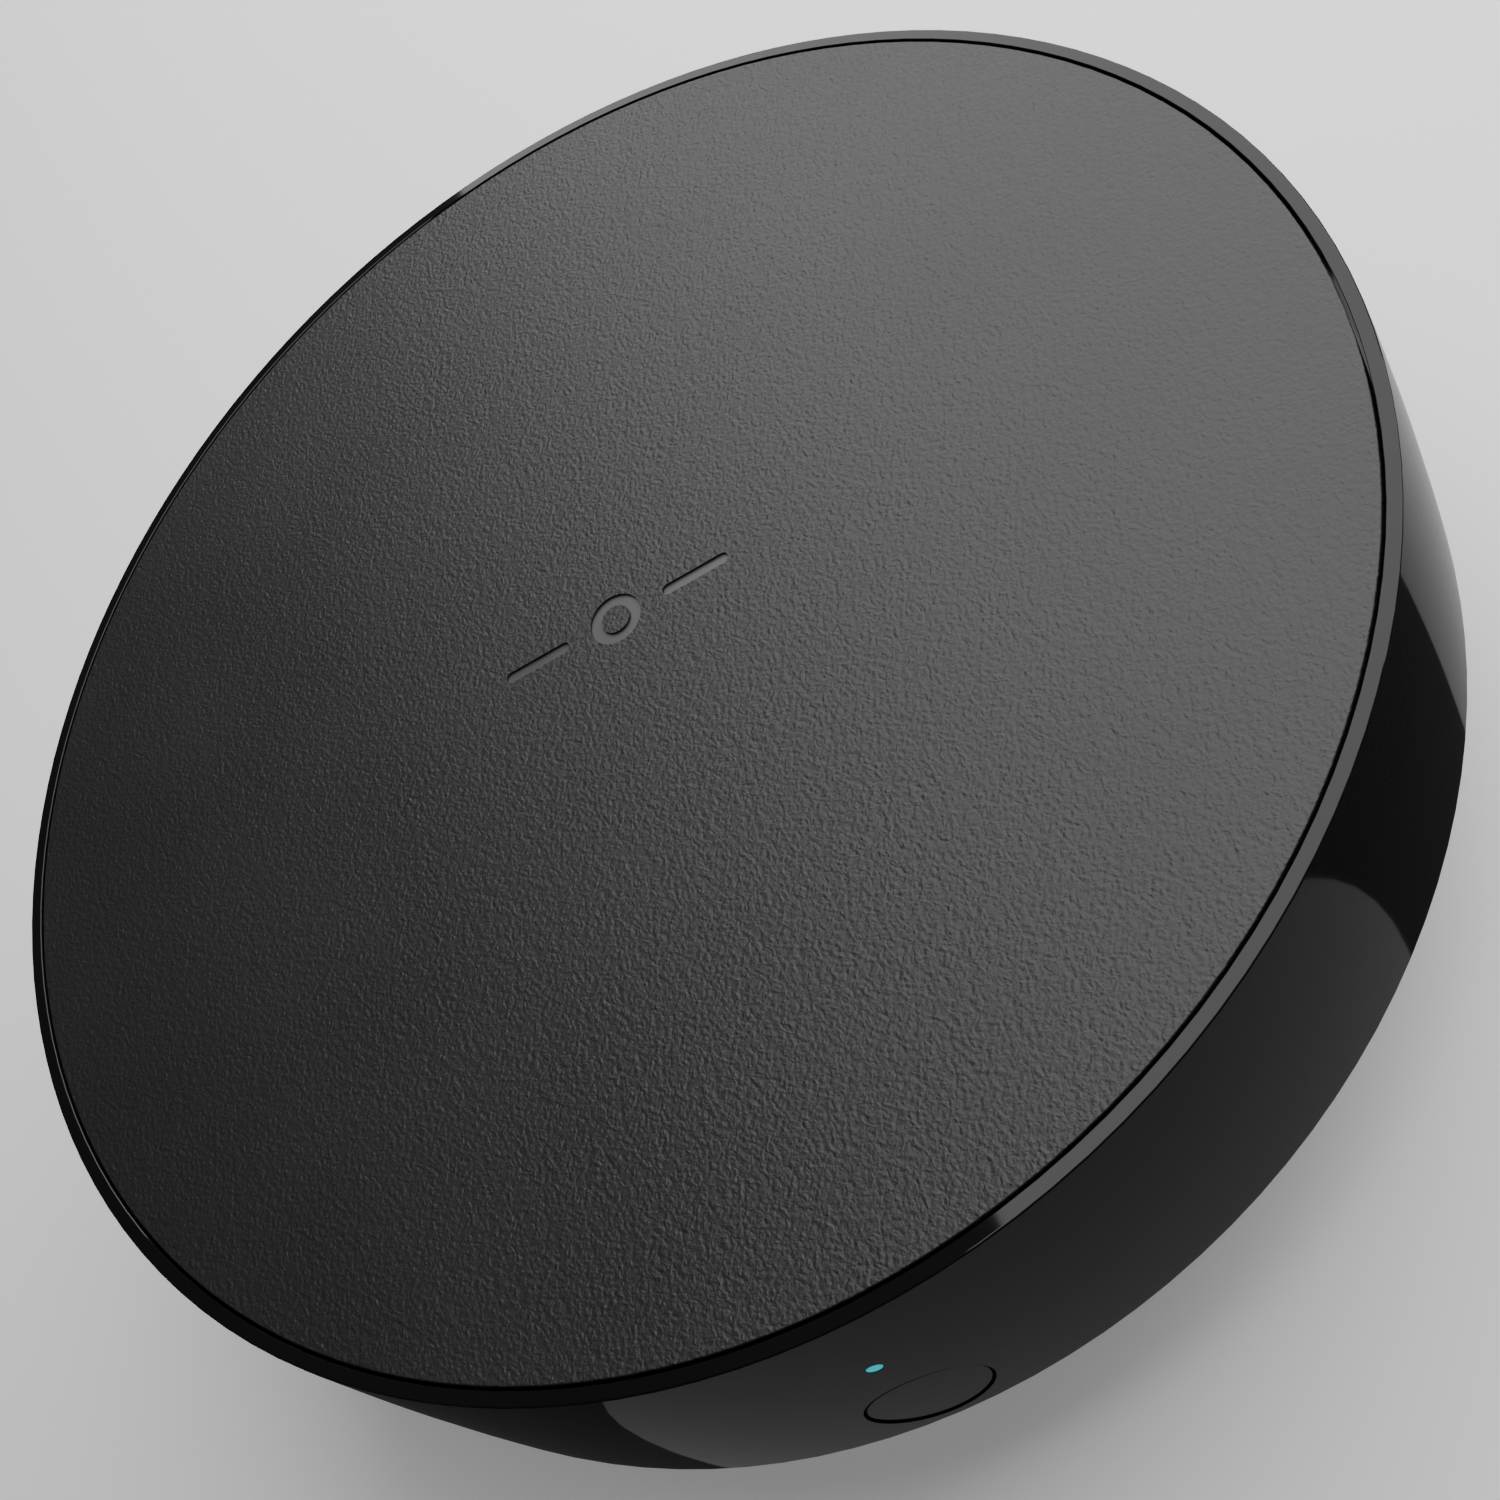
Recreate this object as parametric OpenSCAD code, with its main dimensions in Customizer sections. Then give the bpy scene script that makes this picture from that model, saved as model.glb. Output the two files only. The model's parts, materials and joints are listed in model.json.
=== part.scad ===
// Round smart home hub: glossy infrared window band, textured lid, matte base, side button.
// The frame stands on the table at z = 0, with the button facing -Y and the sockets facing +Y.

/* [Body] */
// Widest diameter, half way up the glossy band
body_d = 104.4; // [98:0.2:125]
// Overall height, from the table to the top of the lid
body_h = 35.6; // [35:0.1:42]
// Height of the glossy band
band_h = 20.9; // [20.4:0.1:21.2]
// How far the band bulges between its two edges, on the radius
band_bulge = 0.2; // [0.05:0.05:0.4]
// Wall thickness of the glossy band
band_wall = 2; // [1.6:0.1:2.4]
// Radius on the lower outside edge of the band
band_edge_r = 0.8; // [0.4:0.1:1.4]

/* [Lid] */
// Width of the glossy rim that shows round the lid
rim_w = 0.95; // [0.6:0.05:1.5]
// Width of the shadow gap between the rim and the lid
lid_gap = 0.2; // [0.15:0.05:0.5]
// Thickness of the lid
lid_t = 2.2; // [1.6:0.1:2.6]
// Depth of the plain mark pressed into the lid
mark_depth = 0.2; // [0.1:0.05:0.5]
// Overall length of the plain mark
mark_l = 18; // [12:0.5:24]
// Number of snap hooks under the lid
hook_count = 6; // [4:1:8]

/* [Base] */
// Diameter of the flat underside
base_flat_d = 80; // [78:1:84]
// Floor thickness of the base
floor_t = 2; // [1.6:0.1:2.2]
// Side wall thickness of the base
base_wall = 2; // [1.6:0.1:2.2]
// How far the rubber ring stands below the base
foot_proud = 1.2; // [0.8:0.1:1.5]
// Mean diameter of the rubber ring
foot_d = 67; // [66:0.5:69]
// Width of the rubber ring
foot_w = 5; // [3:0.5:6]
// Number of vent slots in each side of the base
vent_count = 9; // [5:1:11]

/* [Button and light] */
// Diameter of the side button
button_d = 7.7; // [6:0.1:8]
// Gap all round the side button
button_gap = 0.22; // [0.15:0.01:0.3]
// Depth of the button's centre below the lid's top face
button_drop = 15.2; // [15:0.05:15.4]
// Travel of the side button
button_travel = 0.35; // [0.2:0.05:0.5]
// Diameter of the status light
light_d = 1; // [0.8:0.1:1.6]
// Depth of the light's centre below the lid's top face
light_drop = 7.15; // [6.5:0.05:7.6]

/* [Sockets] */
// Width of the window for the sockets in the back of the band
window_w = 34; // [33:0.5:35]
// Sideways place of the network socket
jack_x = 6.5; // [6:0.1:7]
// Sideways place of the power socket
usb_x = -9.5; // [-10:0.1:-9]

/* [Electronics] */
// Height of the board's underside above the table
board_z = 17.5; // [17.4:0.05:17.6]
// Thickness of the board
board_t = 1.2; // [1:0.1:1.6]
// Number of infrared emitters round the board
emitter_count = 8; // [4:4:8]
// Diameter of the loudspeaker
speaker_d = 41; // [38:0.5:42]
// Distance that the loudspeaker's cone moves each way
cone_travel = 0.5; // [0.2:0.1:0.6]

/* [Hidden] */
$fn = 96;

eps = 0.01;
fit = 0.1;          // clearance between pieces that seat in each other
band_r = body_d / 2;
edge_r = band_r - band_bulge;                // radius of the band at its top and bottom edges
band_z = body_h - band_h;                   // lower edge of the band
lid_r = edge_r - rim_w - lid_gap;
lid_z = body_h - lid_t;                     // underside of the lid
ledge_t = 1.2;                              // ledge in the band that carries the lid
ledge_r = lid_r - 2.1;
rim_edge_r = 0.12;                          // small radius on the rim's outer edge
lid_edge_r = 0.12;                          // small radius on the lid's edge
lip_z = 1.45;                               // how far the base stands up inside the band
bore_r = band_r - band_wall - 0.25;         // inside of the band at its lower end
bead_r = 0.2;                               // snap bead between the base and the band

function band_radius(z) =
    let (t = (body_h - z) / band_h) edge_r + 4 * band_bulge * t * (1 - t);
// Points up the outside of the band from z0 to z1, drawn in by inset
function band_points(z0, z1, inset = 0, n = 8) =
    [for (i = [0 : n]) let (z = z0 + (z1 - z0) * i / n) [band_radius(z) - inset, z]];
function band_bore(z) = z < band_z + 3 ? bore_r : band_radius(z) - band_wall - 0.3;

// Points along part of a circle, from angle a to angle b, in the steps that a small edge needs
function arc(cx, cy, r, a, b, n = 5) =
    [for (i = [0 : n]) let (t = a + (b - a) * i / n) [cx + r * cos(t), cy + r * sin(t)]];

board_top = board_z + board_t;
board_r = bore_r - 2.5;
button_z = body_h - button_drop;
light_z = body_h - light_drop;
base_z = foot_proud;                        // underside of the base's floor
floor_z = base_z + floor_t;
post_r = 27;                                // circle of the case screws
screw_count = 4;
screw_start = 45;
screw_r = 1.25;
head_r = 2.4;
head_t = 1.8;
head_seat_z = base_z + 4.6;
socket_y = 46.2;                            // back face of the socket panel
panel_t = 1.4;
window_z = board_z + 0.2;
window_h = 15.5;
port_corner_r = 2;

module at_screws() {
    for (i = [0 : screw_count - 1])
        rotate(screw_start + i * 360 / screw_count) translate([post_r, 0, 0]) children();
}

module ring(r_out, r_in, h) {
    difference() {
        cylinder(r = r_out, h = h);
        translate([0, 0, -eps]) cylinder(r = r_in, h = h + 2 * eps);
    }
}

module block(w, d, h) {
    translate([-w / 2, -d / 2, 0]) cube([w, d, h]);
}

// A plate standing in the XZ plane with round corners, from y to y + depth
module round_slab(w, h, r, y, depth) {
    translate([0, y + depth, 0]) rotate([90, 0, 0]) linear_extrude(depth)
        union() {
            translate([-w / 2 + r, 0]) square([w - 2 * r, h]);
            translate([-w / 2, r]) square([w, h - 2 * r]);
            for (x = [-w / 2 + r, w / 2 - r]) for (z = [r, h - r])
                translate([x, z]) circle(r = r, $fn = 32);
        }
}

// ---------- case ----------

// The plain mark is a ring between two dashes, with no meaning
module mark_shape() {
    stroke = 0.9;
    ring_r = 2;
    dash = mark_l / 2 - ring_r - 2 * stroke;
    difference() {
        circle(r = ring_r, $fn = 64);
        circle(r = ring_r - stroke, $fn = 64);
    }
    for (side = [-1, 1]) translate([side * (mark_l - dash) / 2, 0]) {
        square([dash - stroke, stroke], center = true);
        for (end = [-1, 1]) translate([end * (dash - stroke) / 2, 0]) circle(r = stroke / 2, $fn = 32);
    }
}

hook_t = 1.1;
hook_r = ledge_r - 0.3;
hook_drop = ledge_t + 1.3;
barb = 0.9;

module lid_hooks() {
    for (i = [0 : hook_count - 1]) rotate(i * 360 / hook_count) {
        translate([hook_r - hook_t, -3, lid_z - hook_drop]) cube([hook_t, 6, hook_drop + eps]);
        translate([hook_r - eps, -3, lid_z - hook_drop]) cube([barb, 6, 1.2]);
    }
}

module top_cover() {
    color([0.16, 0.16, 0.165]) difference() {
        union() {
            rotate_extrude() polygon(concat(
                [[0, lid_z], [lid_r, lid_z]],
                arc(lid_r - lid_edge_r, body_h - lid_edge_r, lid_edge_r, 0, 90),
                [[0, body_h]]));
            lid_hooks();
        }
        translate([0, 0, body_h - mark_depth]) linear_extrude(mark_depth + eps) mark_shape();
    }
}

module band_outline() {
    polygon(concat(
        arc(edge_r - rim_edge_r, body_h - rim_edge_r, rim_edge_r, 90, 2, 4),
        band_points(body_h - 1.5, band_z + 1.5),
        arc(edge_r - band_edge_r, band_z + band_edge_r, band_edge_r, -2, -90, 8),
        [[bore_r, band_z],
         [bore_r, band_z + 0.7], [bore_r + bead_r, band_z + 0.9],
         [bore_r + bead_r, band_z + 1.3], [bore_r, band_z + 1.5],
         [bore_r, band_z + 3], [band_bore(lid_z - ledge_t), lid_z - ledge_t],
         [ledge_r, lid_z - ledge_t], [ledge_r, lid_z],
         [edge_r - rim_w, lid_z], [edge_r - rim_w, body_h - 0.05], [edge_r - rim_w + 0.05, body_h]]));
}

module side_band() {
    color([0.02, 0.02, 0.022]) difference() {
        rotate_extrude() band_outline();
        translate([0, 0, button_z]) rotate([90, 0, 0])
            cylinder(r = button_d / 2 + button_gap, h = band_r + 1);
        translate([0, 0, light_z]) rotate([90, 0, 0]) cylinder(r = light_d / 2 + 0.03, h = band_r + 1, $fn = 32);
        translate([0, 0, window_z]) round_slab(window_w, window_h, port_corner_r, socket_y - 6, 20);
    }
}

base_top_r = bore_r - fit;
// The side of the base is part of an ellipse, from the shadow gap down to the flat underside
base_side_r = base_top_r - 0.6;
base_side_z = band_z - 0.2;
curve_a = base_side_r - base_flat_d / 2 + 1.4;
curve_b = base_side_z - base_z;
function base_curve(inset, n = 12) =
    [for (i = [0 : n]) let (t = 78 * i / n)
        [base_side_r - inset - curve_a * (1 - cos(t)), base_side_z - (curve_b - inset) * sin(t) / sin(78)]];

foot_recess = 0.8;
grille_rings = 5;
grille_pitch = 3;
grille_r = 0.8;

module base_outline() {
    outside = base_curve(0);
    polygon(concat(
        [[0, base_z]], [[base_flat_d / 2 - 1.2, base_z]],
        [for (i = [12 : -1 : 0]) outside[i]],
        [[base_top_r, band_z + 0.1], [base_top_r, band_z + 0.9],
         [base_top_r + bead_r, band_z + 1.1], [base_top_r, band_z + 1.3], [base_top_r, band_z + lip_z],
         [base_top_r - base_wall, band_z + lip_z], [base_top_r - base_wall, band_z + 0.5]],
        [for (p = base_curve(base_wall)) [p[0], max(p[1], floor_z)]],
        [[0, floor_z]]));
}

module base_post() {
    ring_h = board_z - floor_z;
    translate([0, 0, floor_z - eps]) cylinder(r = head_r + 1.2, h = ring_h + eps);
}

module base_shell() {
    color([0.09, 0.09, 0.092]) difference() {
        union() {
            rotate_extrude() base_outline();
            at_screws() base_post();
        }
        translate([0, 0, base_z - eps]) ring(foot_d / 2 + foot_w / 2, foot_d / 2 - foot_w / 2, foot_recess + eps);
        at_screws() {
            translate([0, 0, base_z - eps]) cylinder(r = head_r + 0.2, h = head_seat_z - base_z + eps);
            cylinder(r = screw_r + 0.15, h = board_z + 1);
        }
        translate([0, 0, base_z - eps]) cylinder(r = grille_r, h = floor_t + 2 * eps, $fn = 24);
        for (k = [1 : grille_rings]) for (i = [0 : 6 * k - 1])
            rotate(i * 60 / k) translate([k * grille_pitch, 0, base_z - eps])
                cylinder(r = grille_r, h = floor_t + 2 * eps, $fn = 24);
        for (side = [0, 180]) for (i = [0 : vent_count - 1])
            rotate(side + (i - (vent_count - 1) / 2) * 5)
                translate([base_flat_d / 2 + 1, -0.6, base_z + 5]) cube([16, 1.2, 4.5]);
    }
}

module foot_ring() {
    color([0.05, 0.05, 0.05]) rotate_extrude() polygon([
        [foot_d / 2 - foot_w / 2 + fit, base_z + foot_recess],
        [foot_d / 2 - foot_w / 2 + fit, 0.3], [foot_d / 2 - foot_w / 2 + fit + 0.3, 0],
        [foot_d / 2 + foot_w / 2 - fit - 0.3, 0], [foot_d / 2 + foot_w / 2 - fit, 0.3],
        [foot_d / 2 + foot_w / 2 - fit, base_z + foot_recess]]);
}

jack_w = 16;
jack_h = 13.5;
jack_l = 18;
jack_wall = 0.35;
jack_front = socket_y;
plug_w = 11.9;
plug_h = 7;
plug_depth = 14;
latch_w = 6.2;
latch_h = 1.7;
plug_z = board_top + 4.2;                   // floor of the plug's space
usb_w = 8.94;
usb_h = 3.26;
usb_l = 7.4;
usb_z = board_top + 0.1;

// The opening that a network plug and its latch need, seen from the back
module plug_hole(extra) {
    translate([-plug_w / 2 - extra, plug_z - extra]) square([plug_w + 2 * extra, plug_h + 2 * extra]);
    translate([-latch_w / 2 - extra, plug_z - latch_h - extra]) square([latch_w + 2 * extra, latch_h + 1]);
}

module stadium(w, h) {
    for (side = [-1, 1]) translate([side * (w - h) / 2, 0]) circle(r = h / 2, $fn = 32);
    square([w - h, h], center = true);
}

// Extrudes a shape drawn in X and Z from y0 to y1
module along_y(y0, y1) {
    translate([0, y1, 0]) rotate([90, 0, 0]) linear_extrude(y1 - y0) children();
}

module port_panel() {
    color([0.1, 0.1, 0.102]) difference() {
        translate([0, 0, window_z + fit])
            round_slab(window_w - 2 * fit, window_h - 2 * fit, port_corner_r - fit, socket_y, panel_t);
        translate([jack_x, 0, 0]) along_y(socket_y - 1, socket_y + panel_t + 1) plug_hole(0.15);
        translate([usb_x, 0, usb_z + usb_h / 2]) along_y(socket_y - 1, socket_y + panel_t + 1)
            stadium(usb_w + 0.5, usb_h + 0.5);
    }
}

frame_t = 1.4;
frame_out = hook_r - hook_t - 0.4;
frame_in = frame_out - 5;

module inner_frame() {
    color([0.12, 0.12, 0.12]) difference() {
        union() {
            translate([0, 0, lid_z - frame_t]) ring(frame_out, frame_in, frame_t);
            at_screws() {
                translate([0, 0, board_top]) cylinder(r = 3.2, h = lid_z - board_top);
                translate([0, -2.5, lid_z - frame_t]) cube([frame_in + 1 - post_r, 5, frame_t]);
            }
        }
        at_screws() translate([0, 0, board_top - eps]) cylinder(r = screw_r + 0.02, h = 9);
        translate([-window_w / 2 - 2, 0, lid_z - frame_t - 1]) cube([window_w + 4, body_d, frame_t + 2]);
    }
}

module case_screws() {
    color("silver") at_screws() difference() {
        union() {
            translate([0, 0, head_seat_z - head_t]) cylinder(r = head_r, h = head_t);
            translate([0, 0, head_seat_z - eps]) cylinder(r = screw_r, h = board_top + 8 - head_seat_z);
        }
        for (a = [0, 90]) rotate(a) translate([-1.5, -0.35, head_seat_z - head_t - eps]) cube([3, 0.7, 1.1]);
    }
}

// ---------- board and what stands on it ----------

module main_board() {
    color([0.05, 0.2, 0.12]) difference() {
        translate([0, 0, board_z]) cylinder(r = board_r, h = board_t);
        at_screws() translate([0, 0, board_z - 1]) cylinder(r = screw_r + 0.25, h = board_t + 2);
        translate([-window_w / 2 - 1, socket_y - 0.3, board_z - 1]) cube([window_w + 2, 20, board_t + 2]);
    }
}

flange_r = button_d / 2 + 0.65;
flange_t = 1.1;
cap_chamfer = 0.3;                          // sloped edge round the cap's face
flange_y = bore_r - 0.75;                   // front of the button's flange
stem_r = 1.5;
stem_gap = 0.05;                            // slack between the stem and the switch at rest
switch_y = 42;
switch_w = 6;
switch_d = 3.2;
switch_h = 4.4;
plunger_out = 0.9;
plunger_y = switch_y + switch_d + plunger_out;
switch_hole_y = switch_y + 1.2;             // bottom of the hole that the plunger slides in
plunger_end_y = switch_hole_y + button_travel + 0.35;

module button_cap() {
    color([0.02, 0.02, 0.022]) union() {
        intersection() {
            translate([0, 0, button_z]) rotate([90, 0, 0]) {
                cylinder(r = button_d / 2, h = band_r - cap_chamfer);
                translate([0, 0, band_r - cap_chamfer - eps])
                    cylinder(r1 = button_d / 2, r2 = button_d / 2 - cap_chamfer, h = cap_chamfer);
            }
            rotate_extrude() polygon(concat(
                [[0, button_z - button_d]], band_points(button_z - button_d, button_z + button_d, 0.02, 1),
                [[0, button_z + button_d]]));
            translate([-10, -band_r - 1, button_z - 10]) cube([20, band_r + 1 - flange_y + 0.5, 20]);
        }
        intersection() {
            translate([0, -flange_y + flange_t, button_z]) rotate([90, 0, 0]) cylinder(r = flange_r, h = flange_t);
            translate([-10, -band_r, band_z + lip_z + 0.35]) cube([20, 20, 20]);
        }
        translate([0, -plunger_y - stem_gap, button_z]) rotate([90, 0, 0])
            cylinder(r = stem_r, h = flange_y - plunger_y - stem_gap - flange_t / 2, $fn = 48);
    }
}

guide_t = 1;
guide_y = flange_y - flange_t - button_travel - 0.25;

module button_guide() {
    color([0.12, 0.12, 0.12]) difference() {
        translate([-4.2, -guide_y, board_top]) cube([8.4, guide_t, button_z - board_top + 2.8]);
        translate([0, 0, button_z]) rotate([90, 0, 0]) cylinder(r = stem_r + 0.08, h = band_r, $fn = 48);
    }
}

module switch_body() {
    color([0.2, 0.2, 0.2]) difference() {
        translate([-switch_w / 2, -switch_y - switch_d, board_top]) cube([switch_w, switch_d, switch_h]);
        translate([0, -switch_hole_y, button_z]) rotate([90, 0, 0]) cylinder(r = 1.1, h = 4, $fn = 32);
    }
}

module switch_plunger() {
    color([0.6, 0.1, 0.08]) translate([0, -plunger_end_y, button_z]) rotate([90, 0, 0])
        cylinder(r = 1.05, h = plunger_y - plunger_end_y, $fn = 32);
}

pipe_y = 39.2;
pipe_w = 2.2;

module light_pipe() {
    color([0.8, 0.95, 0.95]) union() {
        translate([-pipe_w / 2, -pipe_y - pipe_w / 2, board_top + 0.9])
            cube([pipe_w, pipe_w, light_z + pipe_w / 2 - board_top - 0.9]);
        translate([-pipe_w / 2, -band_bore(light_z) + 0.9, light_z - pipe_w / 2])
            cube([pipe_w, band_bore(light_z) - 0.9 - pipe_y, pipe_w]);
        intersection() {
            translate([0, 0, light_z]) rotate([90, 0, 0]) cylinder(r = light_d / 2, h = band_r, $fn = 32);
            rotate_extrude() polygon(concat(
                [[pipe_y, light_z - light_d]], band_points(light_z - light_d, light_z + light_d, 0.03, 1),
                [[pipe_y, light_z + light_d]]));
            translate([-2, -band_r, light_z - 2]) cube([4, 20, 4]);
        }
    }
}

module status_led() {
    color([0.9, 0.9, 0.85]) translate([0, -pipe_y, board_top]) block(1.6, 0.8, 0.7);
}

module network_housing() {
    inset = jack_wall + 0.02;
    color([0.03, 0.03, 0.03]) difference() {
        translate([jack_x - jack_w / 2 + inset, jack_front - jack_l + inset, board_top + 0.05])
            cube([jack_w - 2 * inset, jack_l - 2 * inset, jack_h - inset - 0.05]);
        translate([jack_x, 0, 0]) along_y(jack_front - plug_depth, jack_front + 1) plug_hole(0);
        for (i = [0 : 7]) translate([jack_x - 3.57 + i * 1.02 - 0.3, jack_front - plug_depth - 2, plug_z + plug_h - eps])
            cube([0.6, plug_depth, 1]);
    }
}

module network_shield() {
    color("silver") difference() {
        translate([jack_x - jack_w / 2, jack_front - jack_l, board_top]) cube([jack_w, jack_l, jack_h]);
        translate([jack_x - jack_w / 2 + jack_wall, jack_front - jack_l + jack_wall, board_top - 1])
            cube([jack_w - 2 * jack_wall, jack_l - 2 * jack_wall, jack_h + 1 - jack_wall]);
        translate([jack_x, 0, 0]) along_y(jack_front - 2, jack_front + 1) plug_hole(0.1);
    }
}

// Eight sprung wires, which slope down into the plug's space
module network_contacts() {
    y0 = jack_front - plug_depth + 0.5;
    z0 = plug_z + plug_h;
    color([0.85, 0.65, 0.25]) for (i = [0 : 7]) translate([jack_x - 3.57 + i * 1.02 + 0.2, 0, 0])
        rotate([0, -90, 0]) linear_extrude(0.4)
            polygon([[z0 + 0.7, y0], [z0 + 0.9, y0], [z0 + 0.9, y0 + 9], [z0 - 2.6, y0 + 1.4],
                     [z0 - 2.6, y0 + 1.1], [z0 + 0.7, y0 + 8.3]]);
}

module power_shell() {
    color("silver") translate([usb_x, 0, usb_z + usb_h / 2]) difference() {
        along_y(socket_y - usb_l, socket_y + 0.8) stadium(usb_w, usb_h);
        along_y(socket_y - usb_l - 1, socket_y + 2) stadium(usb_w - 0.6, usb_h - 0.6);
    }
}

module power_insulator() {
    color([0.04, 0.04, 0.04]) translate([usb_x, 0, usb_z + usb_h / 2]) difference() {
        along_y(socket_y - usb_l, socket_y - usb_l + 1.6) stadium(usb_w - 0.64, usb_h - 0.64);
        along_y(socket_y - usb_l - 1, socket_y - usb_l + 3) square([6.72, 0.74], center = true);
    }
}

module power_tongue() {
    color([0.06, 0.06, 0.06]) translate([usb_x, 0, usb_z + usb_h / 2])
        along_y(socket_y - usb_l, socket_y - 0.3) square([6.68, 0.7], center = true);
}

emitter_x = board_r - 3.2;

module ir_emitters() {
    color([0.25, 0.2, 0.3]) for (i = [0 : emitter_count - 1])
        rotate((i + 0.5) * 360 / emitter_count) translate([emitter_x, 0, board_top]) {
            block(2.4, 3.2, 3);
            translate([1.2 - eps, 0, 1.5]) rotate([0, 90, 0]) rotate_extrude($fn = 32)
                polygon([[0, 0], [1.25, 0], [1.25, 0.6], [1, 1.2], [0.5, 1.55], [0, 1.6]]);
        }
}

module ir_receiver() {
    color([0.06, 0.06, 0.06]) rotate(-106) translate([board_r - 4.5, 0, board_top]) {
        block(3, 6, 5.4);
        translate([1.4, 0, 3]) rotate([0, 90, 0]) cylinder(r = 2, h = 0.9, $fn = 48);
    }
}

module processor() {
    color([0.08, 0.08, 0.08]) translate([-5, 0, board_top]) block(12, 12, 1.2);
}

module memory_chip() {
    color([0.08, 0.08, 0.08]) translate([7.5, 0, board_top]) block(9, 11, 1);
}

can_w = 27;
can_h = 3;
can_t = 0.3;

module shield_can() {
    color("silver") difference() {
        translate([0, 0, board_top]) block(can_w, can_w, can_h);
        translate([0, 0, board_top - 1]) block(can_w - 2 * can_t, can_w - 2 * can_t, can_h + 1 - can_t);
        for (x = [-9 : 3 : 9]) for (y = [-11, 11]) translate([x, y, board_top]) cylinder(r = 0.6, h = 5, $fn = 24);
    }
}

module thermal_pad() {
    color([0.5, 0.6, 0.75]) translate([0, 0, board_top + can_h]) block(18, 18, 1);
}

fin_count = 9;

module heat_sink() {
    sink_z = board_top + can_h + 1;
    color([0.55, 0.55, 0.57]) union() {
        translate([0, 0, sink_z]) block(30, 34, 1.5);
        for (i = [0 : fin_count - 1]) translate([-14.5 + i * 29 / (fin_count - 1), 0, sink_z + 1.5 - eps])
            block(1, 34, 4.5);
    }
}

module network_transformer() {
    color([0.07, 0.07, 0.07]) translate([jack_x, 23.4, board_top]) {
        block(12.7, 7, 3.6);
        for (x = [-5 : 2 : 5]) for (y = [-3.9, 3.9]) translate([x, y, 0]) block(0.6, 0.9, 0.8);
    }
}

module power_inductor() {
    color([0.25, 0.25, 0.26]) translate([-11, 30, board_top]) difference() {
        block(7, 7, 4);
        translate([0, 0, 3.5]) cylinder(r = 2.6, h = 1);
    }
}

module capacitors() {
    color([0.1, 0.12, 0.3]) for (p = [[-21, 31], [-28, 26], [21, 33], [28.5, 28]])
        translate([p[0], p[1], board_top]) {
            cylinder(r = 3.15, h = 7, $fn = 48);
            block(6.8, 6.8, 0.8);
        }
}

module radio_can(x, y) {
    translate([x, y, board_top]) {
        block(12, 15, 0.8);
        translate([0, -1.5, 0.8 - eps]) block(11.4, 11, 1.8);
    }
}

module mesh_radio() {
    color([0.7, 0.7, 0.72]) radio_can(29, -4);
}

module wireless_radio() {
    color([0.7, 0.7, 0.72]) radio_can(-29, -4);
}

// Stamped metal antennas that stand on edge, each with two feet
module antennas() {
    color([0.8, 0.8, 0.78]) for (a = [0, 180, 315]) rotate(a) translate([board_r - 6, 0, board_top]) {
        translate([0, 0, 1]) block(0.4, 15, 5);
        for (y = [-6, 6]) translate([0, y, 0]) block(0.4, 1.6, 1.2);
        translate([-1.8, 0, 5.6]) block(3.9, 15, 0.4);
    }
}

// ---------- loudspeaker, which faces the floor ----------

speaker_r = speaker_d / 2;
gasket_z = floor_z;
gasket_t = 0.8;
basket_z = gasket_z + gasket_t;
cone_r = speaker_r - 5.5;
coil_r = 7;
plate_z = basket_z + 5.8;
// The roll of the surround runs from just outside the cone to the basket's rim
roll_mid = (speaker_r - 3 + cone_r + 0.05) / 2;
roll_r = (speaker_r - 3 - cone_r - 0.05) / 2;

module speaker_gasket() {
    color([0.1, 0.1, 0.1]) translate([0, 0, gasket_z]) ring(speaker_r, speaker_r - 3, gasket_t);
}

module speaker_mesh() {
    color([0.14, 0.14, 0.14]) translate([0, 0, gasket_z]) cylinder(r = speaker_r - 3.1, h = 0.2);
}

module speaker_frame() {
    color([0.2, 0.2, 0.21]) difference() {
        rotate_extrude() polygon([
            [speaker_r - 3, basket_z], [speaker_r, basket_z], [speaker_r, basket_z + 1],
            [speaker_r - 1.2, basket_z + 1], [15.4, plate_z + 1.3], [14.05, plate_z + 1.3],
            [14.05, plate_z], [14.3, plate_z - 0.6], [speaker_r - 2.4, basket_z + 1.2], [speaker_r - 3, basket_z + 1.2]]);
        for (a = [0 : 60 : 300]) rotate(a + 30) translate([12, -3.5, basket_z + 1.8]) cube([12, 7, 3.2]);
    }
}

module speaker_surround() {
    color([0.05, 0.05, 0.05]) rotate_extrude() polygon(concat(
        arc(roll_mid, basket_z + 1.25, roll_r, 180, 360, 8),
        arc(roll_mid, basket_z + 1.25, roll_r - 0.3, 360, 180, 8)));
}

module speaker_cone() {
    color([0.12, 0.12, 0.13]) rotate_extrude() polygon([
        [0, plate_z - 3.2], [3, plate_z - 2.9], [5.6, plate_z - 2.1], [coil_r, plate_z - 1.3],
        [cone_r, basket_z + 1.1], [cone_r, basket_z + 1.5], [coil_r + 0.4, plate_z - 0.85],
        [coil_r - 0.3, plate_z - 0.85], [5.4, plate_z - 1.7], [3, plate_z - 2.5], [0, plate_z - 2.8]]);
}

module voice_coil() {
    color([0.7, 0.35, 0.15]) translate([0, 0, plate_z - 0.85]) ring(coil_r + 0.35, coil_r - 0.15, 2.8);
}

module speaker_top_plate() {
    color([0.6, 0.6, 0.6]) translate([0, 0, plate_z]) ring(14, coil_r + 0.75, 1.3);
}

module speaker_magnet() {
    color([0.15, 0.15, 0.15]) translate([0, 0, plate_z + 1.3]) ring(13.4, 9, 2.6);
}

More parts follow.
